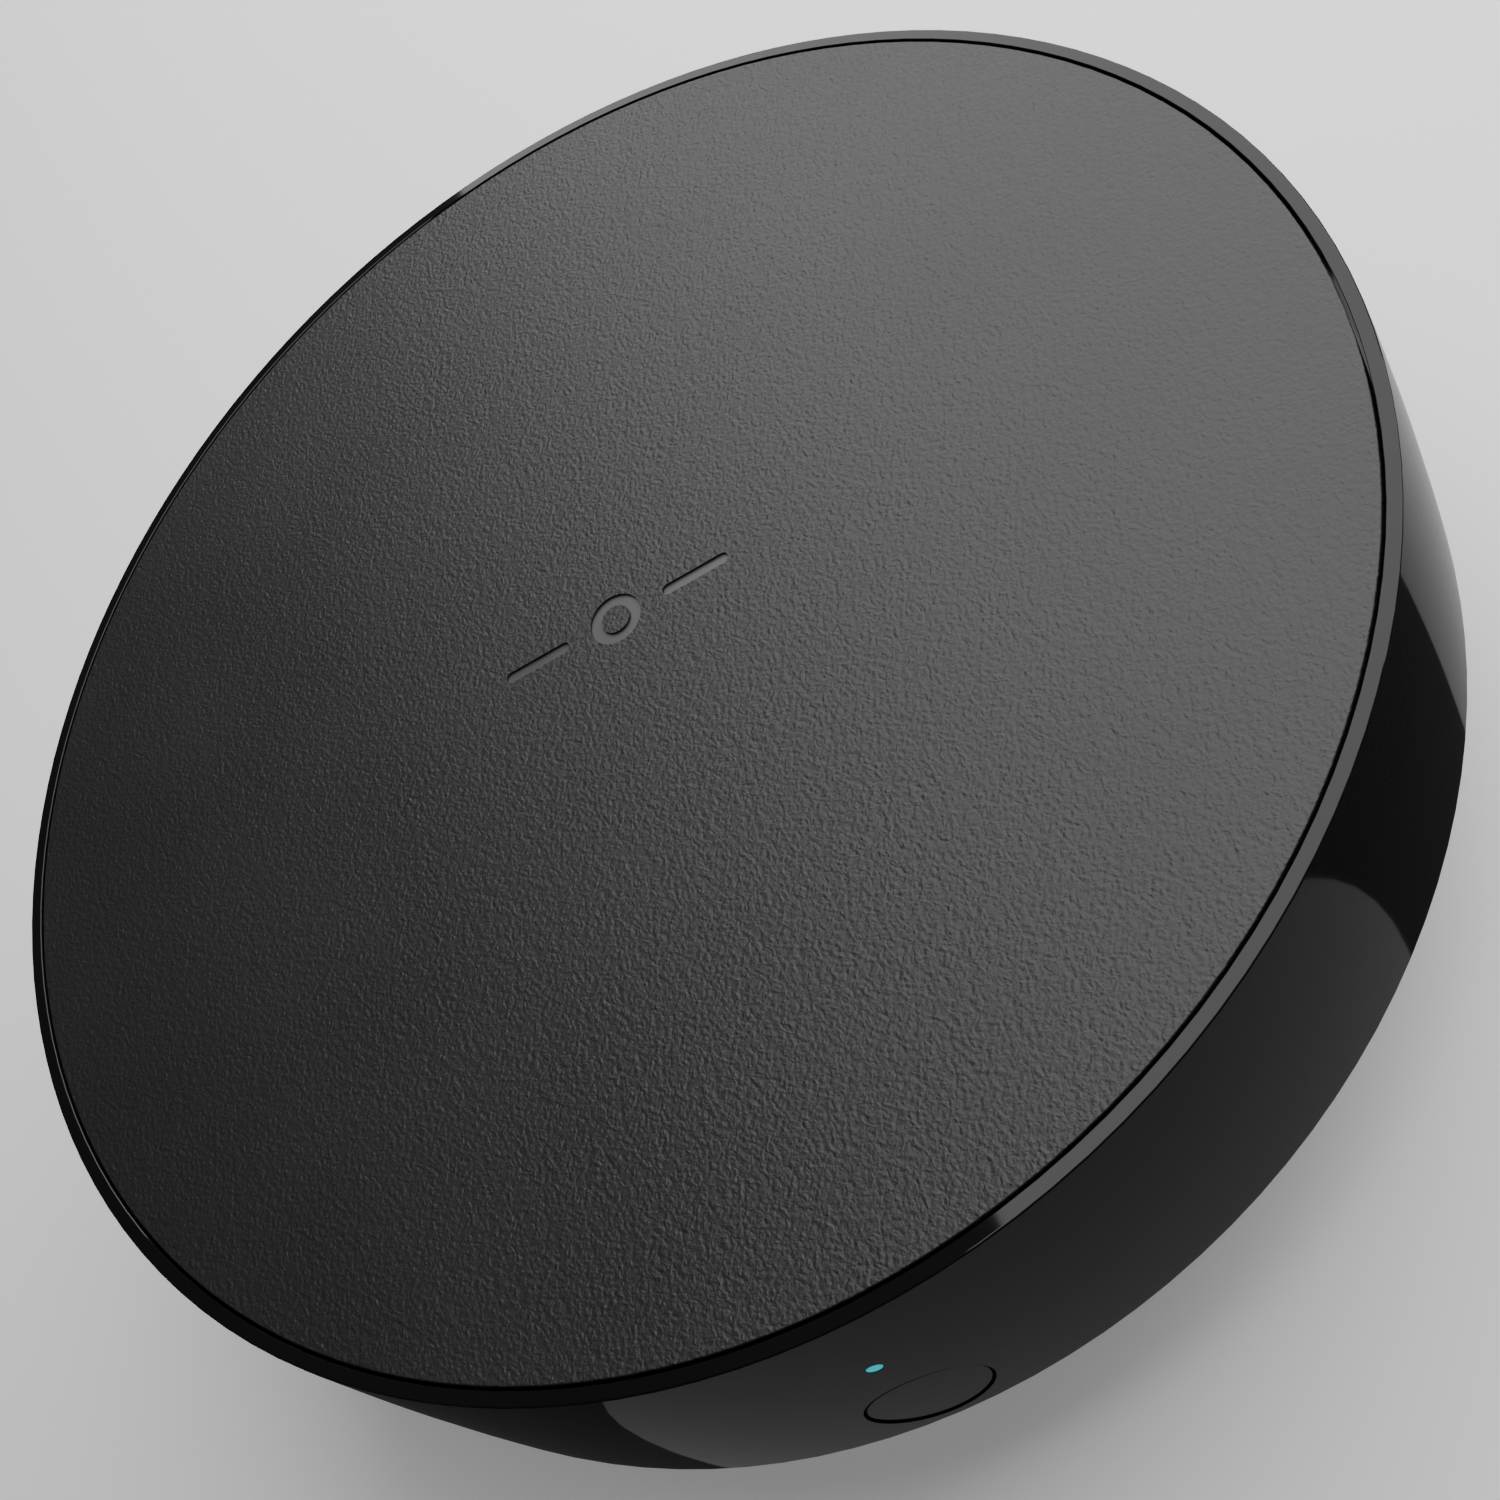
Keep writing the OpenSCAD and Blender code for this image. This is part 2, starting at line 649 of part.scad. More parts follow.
module speaker_yoke() {
    color([0.6, 0.6, 0.6]) union() {
        translate([0, 0, plate_z + 3.9]) cylinder(r = 13.6, h = 1.2);
        translate([0, 0, plate_z + 0.1]) cylinder(r = coil_r - 0.45, h = 3.8 + eps);
    }
}

socket_x = -31;

module speaker_socket() {
    color([0.9, 0.88, 0.8]) translate([socket_x, 0, board_z - 4]) difference() {
        block(5, 7, 4);
        translate([1.5, 0, 0.6]) block(4, 5.6, 2.8);
    }
}

module speaker_plug() {
    color([0.92, 0.9, 0.84]) translate([socket_x + 1.6, 0, board_z - 3.3]) block(3.6, 5.4, 2.6);
}

lead_r = 0.45;
lead_z0 = board_z - 2;
// Route of a lead in the XZ plane, from the plug to the terminal on the basket
lead_route = [
    [-27.6, lead_z0], [-26.6, lead_z0], [-25.6, lead_z0 - 0.1], [-24.6, lead_z0 - 0.6], [-23.6, lead_z0 - 1.5],
    [-22.8, lead_z0 - 2.7], [-22.1, lead_z0 - 4], [-21.3, lead_z0 - 5.1], [-20.3, lead_z0 - 5.9],
    [-18.6, lead_z0 - 6.2], [-16.9, lead_z0 - 6.2]
];

// Sweeps an 8-sided tube along a route in the plane y
module lead(y) {
    n = len(lead_route);
    sides = 8;
    function heading(i) =
        let (d = lead_route[min(i + 1, n - 1)] - lead_route[max(i - 1, 0)]) d / norm(d);
    points = [for (i = [0 : n - 1]) for (k = [0 : sides - 1])
        let (t = heading(i), a = 360 * k / sides)
            [lead_route[i][0] - t[1] * lead_r * cos(a), y + lead_r * sin(a),
             lead_route[i][1] + t[0] * lead_r * cos(a)]];
    walls = [for (i = [0 : n - 2]) for (k = [0 : sides - 1])
        [i * sides + k, (i + 1) * sides + k, (i + 1) * sides + (k + 1) % sides, i * sides + (k + 1) % sides]];
    polyhedron(points, concat([[for (k = [0 : sides - 1]) k]], walls,
        [[for (k = [sides - 1 : -1 : 0]) (n - 1) * sides + k]]));
}

module speaker_lead_red() { color([0.7, 0.05, 0.05]) lead(1.2); }

module speaker_lead_black() { color([0.05, 0.05, 0.05]) lead(-1.2); }

top_cover();
side_band();
base_shell();
foot_ring();
port_panel();
inner_frame();
main_board();
case_screws();
button_cap();
button_guide();
switch_body();
switch_plunger();
light_pipe();
status_led();
network_housing();
network_shield();
network_contacts();
power_shell();
power_tongue();
power_insulator();
ir_emitters();
ir_receiver();
speaker_frame();
speaker_gasket();
speaker_mesh();
speaker_magnet();
speaker_yoke();
speaker_top_plate();
speaker_cone();
speaker_surround();
voice_coil();
speaker_socket();
speaker_plug();
speaker_lead_red();
speaker_lead_black();
processor();
memory_chip();
shield_can();
thermal_pad();
heat_sink();
network_transformer();
power_inductor();
capacitors();
mesh_radio();
wireless_radio();
antennas();
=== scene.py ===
"""Looks for the round smart home hub: materials, small visible pieces, floor, lights and camera."""
import json
import math

import bmesh
import bpy
from mathutils import Matrix, Vector


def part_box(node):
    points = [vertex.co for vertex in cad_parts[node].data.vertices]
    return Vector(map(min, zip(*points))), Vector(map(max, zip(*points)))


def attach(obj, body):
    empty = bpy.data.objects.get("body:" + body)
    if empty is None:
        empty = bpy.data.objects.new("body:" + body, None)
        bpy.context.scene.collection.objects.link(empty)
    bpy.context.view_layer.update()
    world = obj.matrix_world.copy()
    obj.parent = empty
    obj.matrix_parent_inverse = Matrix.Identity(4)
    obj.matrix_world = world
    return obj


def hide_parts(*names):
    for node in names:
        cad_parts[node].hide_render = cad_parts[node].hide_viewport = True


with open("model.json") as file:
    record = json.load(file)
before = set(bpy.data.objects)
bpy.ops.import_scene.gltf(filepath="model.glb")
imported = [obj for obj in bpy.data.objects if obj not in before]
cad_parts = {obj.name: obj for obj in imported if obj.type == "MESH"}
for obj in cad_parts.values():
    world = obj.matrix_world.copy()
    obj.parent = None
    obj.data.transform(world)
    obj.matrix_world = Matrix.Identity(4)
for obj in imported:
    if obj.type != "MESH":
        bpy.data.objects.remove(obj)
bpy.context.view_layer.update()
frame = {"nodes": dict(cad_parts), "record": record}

MM = 0.001
BAND_LO, BAND_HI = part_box("side_band")
BAND_R = BAND_HI.x
BAND_BULGE = 0.2 * MM
EDGE_R = BAND_R - BAND_BULGE
TOP_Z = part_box("top_cover")[1].z


# ---------- node materials ----------

class Nodes:
    """A small helper that adds and joins shader nodes."""

    def __init__(self, name):
        self.material = bpy.data.materials.new(name)
        self.material.use_nodes = True
        self.tree = self.material.node_tree
        self.shader = self.tree.nodes["Principled BSDF"]

    def add(self, kind, **settings):
        node = self.tree.nodes.new(kind)
        for key, value in settings.items():
            setattr(node, key, value)
        return node

    def join(self, out_socket, in_socket):
        self.tree.links.new(out_socket, in_socket)

    def set(self, name, value):
        self.shader.inputs[name].default_value = value

    def place(self):
        return self.add("ShaderNodeTexCoord").outputs["Object"]

    def noise(self, scale, detail=3.0, roughness=0.55, place=None):
        node = self.add("ShaderNodeTexNoise")
        node.inputs["Scale"].default_value = scale
        node.inputs["Detail"].default_value = detail
        node.inputs["Roughness"].default_value = roughness
        self.join(place or self.place(), node.inputs["Vector"])
        return node.outputs["Fac"]

    def cells(self, scale, place):
        node = self.add("ShaderNodeTexVoronoi", feature="SMOOTH_F1")
        node.inputs["Scale"].default_value = scale
        self.join(place, node.inputs["Vector"])
        return node.outputs["Distance"]

    def ramp(self, value, stops):
        node = self.add("ShaderNodeValToRGB")
        while len(node.color_ramp.elements) < len(stops):
            node.color_ramp.elements.new(0.5)
        for element, (at, tone) in zip(node.color_ramp.elements, stops):
            element.position = at
            element.color = (*tone, 1.0) if isinstance(tone, tuple) else (tone, tone, tone, 1.0)
        self.join(value, node.inputs["Fac"])
        return node.outputs["Color"]

    def remap(self, value, low, high, new_low, new_high):
        node = self.add("ShaderNodeMapRange")
        limits = {"From Min": low, "From Max": high, "To Min": new_low, "To Max": new_high}
        for key, number in limits.items():
            node.inputs[key].default_value = number
        self.join(value, node.inputs["Value"])
        return node.outputs["Result"]

    def maths(self, operation, a, b):
        node = self.add("ShaderNodeMath", operation=operation)
        for socket, value in zip(node.inputs, (a, b)):
            if isinstance(value, (int, float)):
                socket.default_value = value
            else:
                self.join(value, socket)
        return node.outputs["Value"]

    def bump(self, height, depth, strength):
        node = self.add("ShaderNodeBump")
        node.inputs["Strength"].default_value = strength
        node.inputs["Distance"].default_value = depth
        self.join(height, node.inputs["Height"])
        return node.outputs["Normal"]


GRAIN_WARP_SCALE = 900.0
GRAIN_WARP = 0.5 * MM
PEBBLE_SCALE = 3600.0
PEBBLE_SHARE = -0.55
CREASE_SCALE = 3000.0
FINE_SCALE = 6000.0
FINE_SHARE = 0.25
BROAD_SCALE = 60.0


def lid_material():
    """Black plastic with a fine leather grain that was etched into the mould."""
    n = Nodes("leather_grain_plastic")
    place = n.place()
    warp = n.add("ShaderNodeTexNoise")
    warp.inputs["Scale"].default_value = GRAIN_WARP_SCALE
    n.join(place, warp.inputs["Vector"])
    shift = n.add("ShaderNodeVectorMath", operation="MULTIPLY_ADD")
    n.join(warp.outputs["Color"], shift.inputs[0])
    shift.inputs[1].default_value = (GRAIN_WARP, GRAIN_WARP, GRAIN_WARP)
    n.join(place, shift.inputs[2])
    pebbles = n.cells(PEBBLE_SCALE, shift.outputs["Vector"])
    creases = n.noise(CREASE_SCALE, detail=2.0, roughness=0.5, place=shift.outputs["Vector"])
    fine = n.noise(FINE_SCALE, detail=2.0, roughness=0.6, place=place)
    broad = n.noise(BROAD_SCALE, detail=3.0, roughness=0.5, place=place)
    height = n.maths("ADD", creases, n.maths("MULTIPLY", pebbles, PEBBLE_SHARE))
    height = n.maths("ADD", height, n.maths("MULTIPLY", fine, FINE_SHARE))
    n.join(n.bump(height, depth=0.0001, strength=0.6), n.shader.inputs["Normal"])
    tone = n.ramp(n.maths("ADD", n.maths("MULTIPLY", fine, 0.5), n.maths("MULTIPLY", broad, 0.5)),
                  [(0.3, (0.012, 0.012, 0.0122)), (0.7, (0.016, 0.016, 0.0163))])
    n.join(tone, n.shader.inputs["Base Color"])
    n.join(n.remap(broad, 0.3, 0.7, 0.42, 0.45), n.shader.inputs["Roughness"])
    n.set("Specular IOR Level", 0.5)
    return n.material


def gloss_material():
    """Dark polished plastic that lets infrared through, with faint smears and dust."""
    n = Nodes("polished_dark_plastic")
    place = n.place()
    smear = n.noise(35.0, detail=4.0, roughness=0.6, place=place)
    dust = n.noise(2600.0, detail=2.0, roughness=0.5, place=place)
    tone = n.ramp(smear, [(0.3, (0.0045, 0.0045, 0.005)), (0.7, (0.007, 0.007, 0.0075))])
    n.join(tone, n.shader.inputs["Base Color"])
    smear_rough = n.remap(smear, 0.35, 0.75, 0.03, 0.06)
    dust_rough = n.remap(dust, 0.74, 0.9, 0.0, 0.03)
    rough = n.maths("ADD", smear_rough, dust_rough)
    n.join(rough, n.shader.inputs["Roughness"])
    waves = n.noise(60.0, detail=1.0, roughness=0.5, place=place)
    n.join(n.bump(waves, depth=0.000004, strength=0.2), n.shader.inputs["Normal"])
    n.set("IOR", 1.5)
    n.set("Specular IOR Level", 0.34)
    return n.material


def moulded(name, tone, rough, grain=2200.0, depth=0.00004, spread=0.2):
    """Moulded plastic or rubber with a spark-eroded grain."""
    n = Nodes(name)
    place = n.place()
    fine = n.noise(grain, detail=4.0, roughness=0.6, place=place)
    broad = n.noise(80.0, detail=3.0, roughness=0.5, place=place)
    low = tuple(c * (1 - spread) for c in tone)
    high = tuple(min(1.0, c * (1 + spread)) for c in tone)
    n.join(n.ramp(broad, [(0.3, low), (0.7, high)]), n.shader.inputs["Base Color"])
    n.join(n.remap(broad, 0.3, 0.7, rough - 0.06, rough + 0.06), n.shader.inputs["Roughness"])
    n.join(n.bump(fine, depth=depth, strength=0.5), n.shader.inputs["Normal"])
    return n.material


STAIN_DARKER = 0.82


def metal(name, tone, rough, stretch=(1.0, 1.0, 14.0), depth=0.00001):
    """Metal with fine drawn lines and small stains."""
    n = Nodes(name)
    place = n.place()
    scale = n.add("ShaderNodeMapping")
    scale.inputs["Scale"].default_value = stretch
    n.join(place, scale.inputs["Vector"])
    lines = n.noise(900.0, detail=4.0, roughness=0.6, place=scale.outputs["Vector"])
    stains = n.noise(120.0, detail=3.0, roughness=0.6, place=place)
    stained = tuple(c * STAIN_DARKER for c in tone)
    n.join(n.ramp(stains, [(0.3, stained), (0.7, tone)]), n.shader.inputs["Base Color"])
    n.join(n.remap(lines, 0.3, 0.7, rough - 0.07, rough + 0.07), n.shader.inputs["Roughness"])
    n.join(n.bump(lines, depth=depth, strength=0.4), n.shader.inputs["Normal"])
    n.set("Metallic", 1.0)
    return n.material


def board_material():
    """Green solder resist with copper tracks that show through."""
    n = Nodes("solder_resist")
    place = n.place()
    tracks = n.add("ShaderNodeTexBrick", offset=0.37)
    tracks.inputs["Scale"].default_value = 260.0
    tracks.inputs["Mortar Size"].default_value = 0.03
    tracks.inputs["Color1"].default_value = (0.012, 0.07, 0.035, 1.0)
    tracks.inputs["Color2"].default_value = (0.01, 0.055, 0.03, 1.0)
    tracks.inputs["Mortar"].default_value = (0.03, 0.13, 0.07, 1.0)
    n.join(place, tracks.inputs["Vector"])
    n.join(tracks.outputs["Color"], n.shader.inputs["Base Color"])
    relief = n.bump(tracks.outputs["Fac"], depth=0.00003, strength=0.5)
    n.join(relief, n.shader.inputs["Normal"])
    stains = n.noise(150.0, detail=3.0, roughness=0.5, place=place)
    rough = n.remap(stains, 0.3, 0.7, 0.25, 0.42)
    n.join(rough, n.shader.inputs["Roughness"])
    return n.material


def light_material():
    """Cyan light guide whose glow is a little uneven."""
    n = Nodes("lit_light_guide")
    place = n.place()
    patches = n.noise(500.0, detail=2.0, roughness=0.5, place=place)
    glow = n.ramp(patches, [(0.3, (0.0, 0.7, 0.82)), (0.7, (0.0, 0.82, 0.92))])
    n.set("Base Color", (0.0, 0.02, 0.025, 1.0))
    n.join(glow, n.shader.inputs["Emission Color"])
    n.set("Emission Strength", 0.6)
    n.set("Specular IOR Level", 0.15)
    blur = n.noise(900.0, detail=2.0, roughness=0.5, place=place)
    rough = n.remap(blur, 0.3, 0.7, 0.15, 0.3)
    n.join(rough, n.shader.inputs["Roughness"])
    grain = n.noise(1500.0, detail=2.0, roughness=0.5, place=place)
    n.join(n.bump(grain, depth=0.00001, strength=0.3), n.shader.inputs["Normal"])
    return n.material


def make_materials():
    return {
        "lid": lid_material(),
        "gloss_band": gloss_material(),
        "base": moulded("base_satin_plastic", (0.022, 0.022, 0.023), 0.5, grain=2400.0,
                        depth=0.00006, spread=0.06),
        "foot": moulded("foot_rubber", (0.016, 0.016, 0.016), 0.75, grain=900.0),
        "panel": moulded("socket_panel_plastic", (0.018, 0.018, 0.019), 0.42),
        "inner_plastic": moulded("inner_plastic", (0.05, 0.05, 0.05), 0.5),
        "board": board_material(),
        "steel": metal("plated_steel", (0.62, 0.62, 0.63), 0.3),
        "switch": moulded("connector_black_plastic", (0.02, 0.02, 0.02), 0.45),
        "light": light_material(),
        "led": moulded("led_resin", (0.7, 0.66, 0.45), 0.3, grain=3000.0, depth=0.00001),
        "contact": metal("gold_flash", (0.83, 0.6, 0.22), 0.25),
        "ir_lens": moulded("infrared_resin", (0.03, 0.015, 0.035), 0.15, grain=3000.0,
                           depth=0.00001),
        "ferrite": moulded("sintered_ferrite", (0.05, 0.05, 0.055), 0.6, grain=1800.0),
        "coil": metal("enamelled_wire", (0.62, 0.25, 0.1), 0.3, stretch=(1.0, 1.0, 30.0),
                      depth=0.00004),
        "cone": moulded("pressed_cone", (0.03, 0.03, 0.031), 0.7, grain=1400.0),
        "surround": moulded("surround_rubber", (0.015, 0.015, 0.015), 0.5, grain=1200.0),
        "gasket": moulded("gasket_foam", (0.03, 0.03, 0.03), 0.9, grain=1500.0, depth=0.00012),
        "mesh": moulded("woven_mesh", (0.02, 0.02, 0.02), 0.85, grain=2600.0, depth=0.0001),
        "connector": moulded("natural_nylon", (0.7, 0.67, 0.58), 0.4),
        "lead_red": moulded("red_insulation", (0.42, 0.02, 0.015), 0.4),
        "lead_black": moulded("black_insulation", (0.015, 0.015, 0.015), 0.4),
        "chip": moulded("chip_epoxy", (0.02, 0.02, 0.02), 0.55, grain=3200.0),
        "pad": moulded("soft_thermal_pad", (0.3, 0.38, 0.5), 0.7, grain=1500.0),
        "sink": metal("extruded_aluminium", (0.6, 0.6, 0.62), 0.38, stretch=(14.0, 1.0, 1.0)),
        "capacitor": metal("capacitor_can", (0.66, 0.66, 0.68), 0.28),
    }


def use(obj, material):
    obj.data.materials.clear()
    obj.data.materials.append(material)


MARK_DEPTH = 0.2 * MM
MARK_SHALLOWEST = 0.5 * MARK_DEPTH
MARK_DEEPEST = 2.0 * MARK_DEPTH
LEVEL_FACE = 0.9
MARK_SLOT = 1


def polish_mark(material):
    """Gives the floor of the pressed-in mark a smoother finish than the lid's grain."""
    mesh = frame["nodes"]["top_cover"].data
    mesh.materials.append(material)
    for face in mesh.polygons:
        deep = TOP_Z - face.center.z
        if face.normal.z > LEVEL_FACE and MARK_SHALLOWEST < deep < MARK_DEEPEST:
            face.material_index = MARK_SLOT


def put_materials_on_nodes(materials):
    for part in frame["record"]["subparts"]:
        use(frame["nodes"][part["node"]], materials[part["material_slot"]])


# ---------- polished pieces with true round reflections ----------

BAND_H = BAND_HI.z - BAND_LO.z
EDGE_SKIP = 0.9 * MM
RIM_SKIP = 0.2 * MM
WALL_DEPTH = 0.6 * MM
WALL_TILT = 0.12
WALL_FACING = 0.97


def bulge_slope(z):
    """How fast the band's radius changes with height."""
    t = (TOP_Z - z) / BAND_H
    return -4.0 * BAND_BULGE * (1.0 - 2.0 * t) / BAND_H


def round_copy(node, name, body):
    """A copy of a polished node whose outer wall shades as one true curve."""
    source = frame["nodes"][node]
    mesh = source.data.copy()
    mesh.name = name
    copy = bpy.data.objects.new(name, mesh)
    bpy.context.collection.objects.link(copy)
    normals = [Vector(corner.vector) for corner in mesh.corner_normals]
    for face in mesh.polygons:
        centre = face.center
        radial = Vector((centre.x, centre.y, 0.0))
        upright = abs(face.normal.z) < WALL_TILT
        outward = face.normal.dot(radial.normalized()) > WALL_FACING
        if not upright or not outward or radial.length < BAND_R - WALL_DEPTH:
            continue
        if not BAND_LO.z + EDGE_SKIP < centre.z < TOP_Z - RIM_SKIP:
            continue
        for loop in face.loop_indices:
            place = mesh.vertices[mesh.loops[loop].vertex_index].co
            rise = -bulge_slope(place.z) * place.xy.length
            normals[loop] = Vector((place.x, place.y, rise)).normalized()
    mesh.normals_split_custom_set([tuple(v) for v in normals])
    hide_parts(node)
    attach(copy, body)


WELD_DISTANCE = 0.0005 * MM


def smooth_copy(node, name, body, sharp_degrees):
    """A copy of a moulded node whose gentle curves shade without steps."""
    mesh = frame["nodes"][node].data.copy()
    mesh.name = name
    shape = bmesh.new()
    shape.from_mesh(mesh)
    bmesh.ops.remove_doubles(shape, verts=shape.verts, dist=WELD_DISTANCE)
    shape.to_mesh(mesh)
    shape.free()
    if "custom_normal" in mesh.attributes:
        mesh.attributes.remove(mesh.attributes["custom_normal"])
    mesh.shade_smooth()
    mesh.set_sharp_from_angle(angle=math.radians(sharp_degrees))
    copy = bpy.data.objects.new(name, mesh)
    bpy.context.collection.objects.link(copy)
    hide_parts(node)
    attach(copy, body)


# ---------- small repeated pieces, grown by rule ----------

def grown(name, build, material, body):
    """Runs a Geometry Nodes tree once and keeps its result as a plain mesh."""
    tree = bpy.data.node_groups.new(name + "_rule", "GeometryNodeTree")
    tree.interface.new_socket("Geometry", in_out="OUTPUT", socket_type="NodeSocketGeometry")
    inputs = build(tree)
    carrier = bpy.data.objects.new(name, bpy.data.meshes.new(name + "_seed"))
    bpy.context.collection.objects.link(carrier)
    modifier = carrier.modifiers.new("rule", "NODES")
    modifier.node_group = tree
    for item in tree.interface.items_tree:
        if item.item_type == "SOCKET" and item.in_out == "INPUT":
            modifier[item.identifier] = inputs[item.name]
    graph = bpy.context.evaluated_depsgraph_get()
    mesh = bpy.data.meshes.new_from_object(carrier.evaluated_get(graph))
    bpy.data.objects.remove(carrier)
    piece = bpy.data.objects.new(name, mesh)
    bpy.context.collection.objects.link(piece)
    use(piece, material)
    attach(piece, body)


def add_input(tree, name, kind, value):
    socket = tree.interface.new_socket(name, in_out="INPUT", socket_type=kind)
    socket.default_value = value
    return name, value


def finish_tree(tree, geometry, material):
    realize = tree.nodes.new("GeometryNodeRealizeInstances")
    paint = tree.nodes.new("GeometryNodeSetMaterial")
    paint.inputs["Material"].default_value = material
    out = tree.nodes.new("NodeGroupOutput")
    tree.links.new(geometry, realize.inputs[0])
    tree.links.new(realize.outputs[0], paint.inputs[0])
    tree.links.new(paint.outputs[0], out.inputs[0])


BOARD_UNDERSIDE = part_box("main_board")[0].z


def ring_of_blocks(material, count, radius, height, block):
    """Returns a builder for blocks that stand evenly round a circle."""
    def build(tree):
        inputs = dict([
            add_input(tree, "Count", "NodeSocketInt", count),
            add_input(tree, "Radius", "NodeSocketFloat", radius),
            add_input(tree, "Height", "NodeSocketFloat", height),
            add_input(tree, "Block Size", "NodeSocketVector", block)])
        source = tree.nodes.new("NodeGroupInput")
        circle = tree.nodes.new("GeometryNodeMeshCircle")
        tree.links.new(source.outputs["Count"], circle.inputs["Vertices"])
        tree.links.new(source.outputs["Radius"], circle.inputs["Radius"])
        lift = tree.nodes.new("GeometryNodeTransform")
        offset = tree.nodes.new("ShaderNodeCombineXYZ")
        tree.links.new(source.outputs["Height"], offset.inputs["Z"])
        tree.links.new(circle.outputs[0], lift.inputs["Geometry"])
        tree.links.new(offset.outputs[0], lift.inputs["Translation"])
        cube = tree.nodes.new("GeometryNodeMeshCube")
        tree.links.new(source.outputs["Block Size"], cube.inputs["Size"])
        place = tree.nodes.new("GeometryNodeInputPosition")
        flat = tree.nodes.new("ShaderNodeVectorMath")
        flat.operation = "MULTIPLY"
        flat.inputs[1].default_value = (1.0, 1.0, 0.0)
        tree.links.new(place.outputs[0], flat.inputs[0])
        turn = tree.nodes.new("FunctionNodeAlignRotationToVector")
        turn.axis = "X"
        tree.links.new(flat.outputs[0], turn.inputs["Vector"])
        spread = tree.nodes.new("GeometryNodeInstanceOnPoints")
        tree.links.new(lift.outputs[0], spread.inputs["Points"])
        tree.links.new(cube.outputs[0], spread.inputs["Instance"])
        tree.links.new(turn.outputs[0], spread.inputs["Rotation"])
        finish_tree(tree, spread.outputs[0], material)
        return inputs
    return build


# Name, count, radius of the ring, size of one chip, and material
CHIP_RINGS = (
    ("board_resistors", 46, 20.0 * MM, (0.8 * MM, 1.6 * MM, 0.5 * MM), "chip"),
    ("board_filters", 32, 37.0 * MM, (1.0 * MM, 0.5 * MM, 0.5 * MM), "connector"))


def grow_small_parts(materials):
    """Rings of small chips under the board, at radii that its posts and sockets leave free."""
    for name, count, radius, block, key in CHIP_RINGS:
        height = BOARD_UNDERSIDE - block[2] / 2
        build = ring_of_blocks(materials[key], count, radius, height, block)
        grown(name, build, materials[key], "case")


# ---------- floor, lights and camera ----------

CAMERA_DISTANCE = 2.58684 * EDGE_R
CAMERA_AZIMUTH = math.radians(21.97)
CAMERA_ELEVATION = math.radians(44.61)
CAMERA_ROLL = math.radians(-45.49)
CAMERA_LENS = 47.07
CAMERA_SENSOR = 36.0
CAMERA_NEAR = 0.01
AIM = Vector((0.1211 * EDGE_R, -0.2981 * EDGE_R, TOP_Z))


def make_camera():
    data = bpy.data.cameras.new("camera")
    data.lens = CAMERA_LENS
    data.sensor_width = CAMERA_SENSOR
    data.clip_start = CAMERA_NEAR
    camera = bpy.data.objects.new("camera", data)
    bpy.context.collection.objects.link(camera)
    back = Vector((
        math.sin(CAMERA_AZIMUTH) * math.cos(CAMERA_ELEVATION),
        -math.cos(CAMERA_AZIMUTH) * math.cos(CAMERA_ELEVATION),
        math.sin(CAMERA_ELEVATION)))
    camera.location = Vector((0.0, 0.0, TOP_Z)) + back * CAMERA_DISTANCE
    forward = (AIM - camera.location).normalized()
    level = forward.cross(Vector((0.0, 0.0, 1.0))).normalized()
    upright = level.cross(forward)
    side = level * math.cos(CAMERA_ROLL) + upright * math.sin(CAMERA_ROLL)
    over = upright * math.cos(CAMERA_ROLL) - level * math.sin(CAMERA_ROLL)
    turn = Matrix((side, over, -forward)).transposed()
    camera.rotation_mode = "QUATERNION"
    camera.rotation_quaternion = turn.to_quaternion()
    bpy.context.scene.camera = camera


FLOOR_DROP = 0.02 * MM
FLOOR_SIZE = 20.0
FLOOR_GLOW = 0.22


def make_floor():
    """A pale floor that reflections don't show, so the panels below it can be seen in them."""
    bpy.ops.mesh.primitive_plane_add(size=FLOOR_SIZE, location=(0.0, 0.0, -FLOOR_DROP))
    floor = bpy.context.object
    floor.name = "floor"
    n = Nodes("pale_floor")
    n.join(n.ramp(n.noise(3.0), [(0.3, 0.88), (0.7, 0.9)]), n.shader.inputs["Base Color"])
    n.set("Roughness", 0.9)
    n.set("Specular IOR Level", 0.1)
    n.set("Emission Color", (1.0, 1.0, 1.0, 1.0))
    n.set("Emission Strength", FLOOR_GLOW)
    use(floor, n.material)
    floor.visible_glossy = False


# Level panels below the floor: name, centre, size and corner radius in units of EDGE_R,
# turn in degrees, the axis along which the glow grows, and the glow at its two ends
CARDS = (
    ("front_card", (-0.03, -2.53), (5.93, 3.8), 1.2, 2.2, "X", 0.15, 0.23),
    ("side_card", (4.3, 3.3), (6.0, 4.2), 0.5, 8.0, "Y", 0.24, 0.9),
    ("rear_card", (-3.7, 4.7), (4.2, 2.6), 0.5, 8.0, "Y", 0.2, 0.5))
PANEL_GAP = 4.0 * EDGE_R
CORNER_STEPS = 8


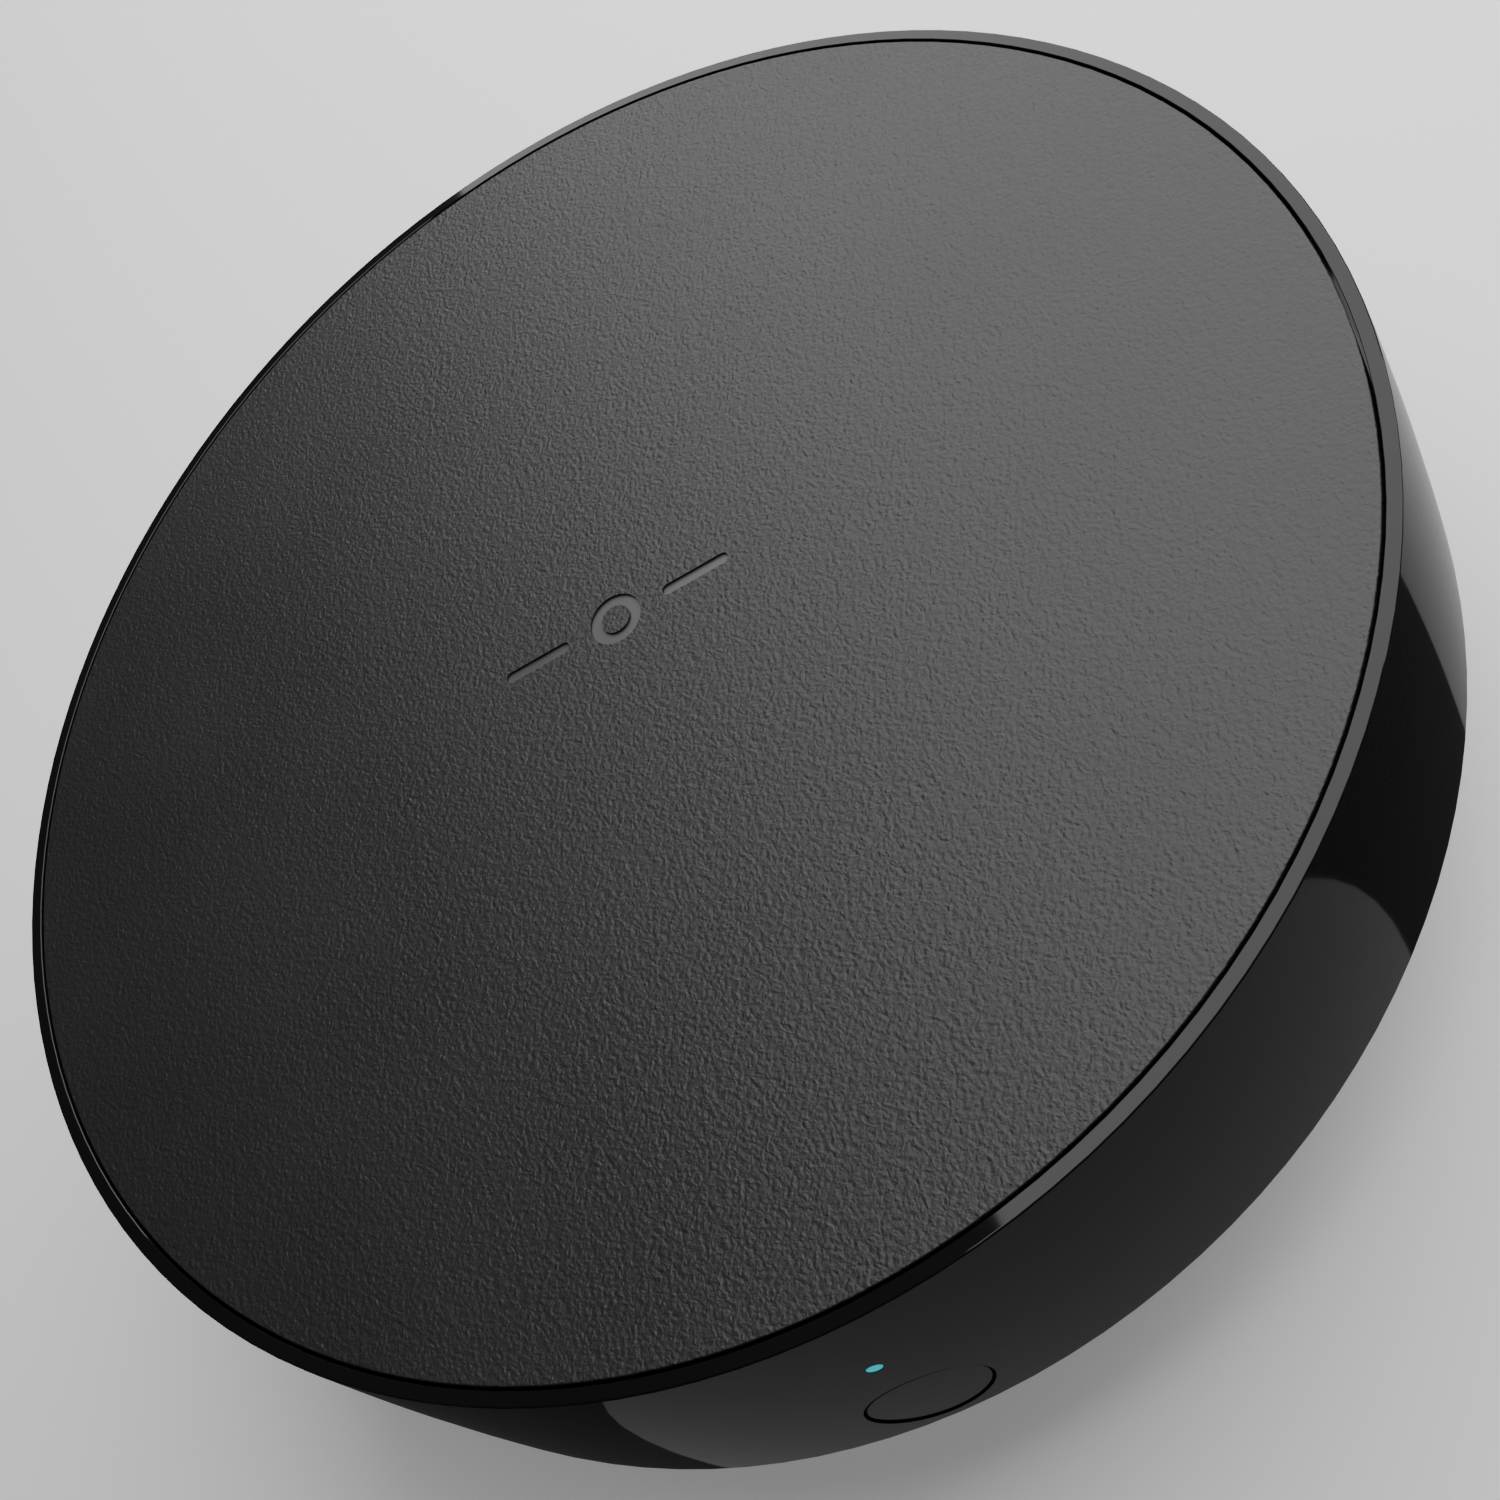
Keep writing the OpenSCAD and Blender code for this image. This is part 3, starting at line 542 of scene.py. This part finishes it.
def make_card(name, centre, size, corner, turn, axis, power_low, power_high):
    """A level glowing panel with round corners, which shows only in reflections."""
    mesh = bpy.data.meshes.new(name)
    shape = bmesh.new()
    outline = []
    for side_x, side_y, start in ((1, 1, 0), (-1, 1, 90), (-1, -1, 180), (1, -1, 270)):
        for step in range(CORNER_STEPS + 1):
            angle = math.radians(start + step * 90 / CORNER_STEPS)
            outline.append(shape.verts.new((
                side_x * (size[0] / 2 - corner) + corner * math.cos(angle),
                side_y * (size[1] / 2 - corner) + corner * math.sin(angle),
                0.0)))
    shape.faces.new(outline)
    shape.to_mesh(mesh)
    shape.free()
    card = bpy.data.objects.new(name, mesh)
    bpy.context.collection.objects.link(card)
    card.location = centre
    card.rotation_euler = (0.0, 0.0, math.radians(turn))
    n = Nodes(name)
    parts = n.add("ShaderNodeSeparateXYZ")
    n.join(n.place(), parts.inputs["Vector"])
    half = size[0] / 2 if axis == "X" else size[1] / 2
    glow = n.add("ShaderNodeEmission")
    power = n.remap(parts.outputs[axis], -half, half, power_low, power_high)
    n.join(power, glow.inputs["Strength"])
    n.join(glow.outputs["Emission"], n.tree.nodes["Material Output"].inputs["Surface"])
    use(card, n.material)
    card.visible_camera = False
    card.visible_shadow = False
    card.visible_diffuse = False


OVERHEAD_RADIANCE = 3.2
OVERHEAD_CENTRE = (4.35 * EDGE_R, 7.0 * EDGE_R, TOP_Z + PANEL_GAP)
OVERHEAD_SIZE = (12.0 * EDGE_R, 16.0 * EDGE_R)
OVERHEAD_TURN = math.radians(8.0)
WORLD_ON_OBJECT = 0.03
WORLD_BEHIND = 0.8


def make_overhead():
    """A large soft panel, whose left edge shows in the lid and the rim as the change of tone."""
    data = bpy.data.lights.new("overhead", "AREA")
    data.shape = "RECTANGLE"
    data.size = OVERHEAD_SIZE[0]
    data.size_y = OVERHEAD_SIZE[1]
    data.energy = OVERHEAD_RADIANCE * math.pi * data.size * data.size_y
    lamp = bpy.data.objects.new("overhead", data)
    bpy.context.collection.objects.link(lamp)
    lamp.location = OVERHEAD_CENTRE
    lamp.rotation_euler = (0.0, 0.0, OVERHEAD_TURN)


def make_world():
    """A pale surround that is brighter to the camera than it is to the object."""
    world = bpy.data.worlds.new("studio")
    bpy.context.scene.world = world
    world.use_nodes = True
    tree = world.node_tree
    path = tree.nodes.new("ShaderNodeLightPath")
    power = tree.nodes.new("ShaderNodeMapRange")
    power.inputs["To Min"].default_value = WORLD_ON_OBJECT
    power.inputs["To Max"].default_value = WORLD_BEHIND
    tree.links.new(path.outputs["Is Camera Ray"], power.inputs["Value"])
    tree.links.new(power.outputs["Result"], tree.nodes["Background"].inputs["Strength"])
    tree.nodes["Background"].inputs["Color"].default_value = (1.0, 1.0, 1.0, 1.0)


def make_lights():
    make_world()
    make_overhead()
    for name, (x, y), (width, depth), corner, turn, axis, low, high in CARDS:
        centre = (x * EDGE_R, y * EDGE_R, TOP_Z - PANEL_GAP)
        size = (width * EDGE_R, depth * EDGE_R)
        make_card(name, centre, size, corner * EDGE_R, turn, axis, low, high)


materials = make_materials()
put_materials_on_nodes(materials)
mark_finish = moulded("mark_polished_plastic", (0.07, 0.07, 0.071), 0.36, grain=900.0,
                      depth=0.000005)
polish_mark(mark_finish)
grow_small_parts(materials)
round_copy("side_band", "glossy_band", "case")
round_copy("button_cap", "glossy_button", "button")
smooth_copy("base_shell", "smooth_base", "case", sharp_degrees=14.0)
make_floor()
make_lights()
make_camera()
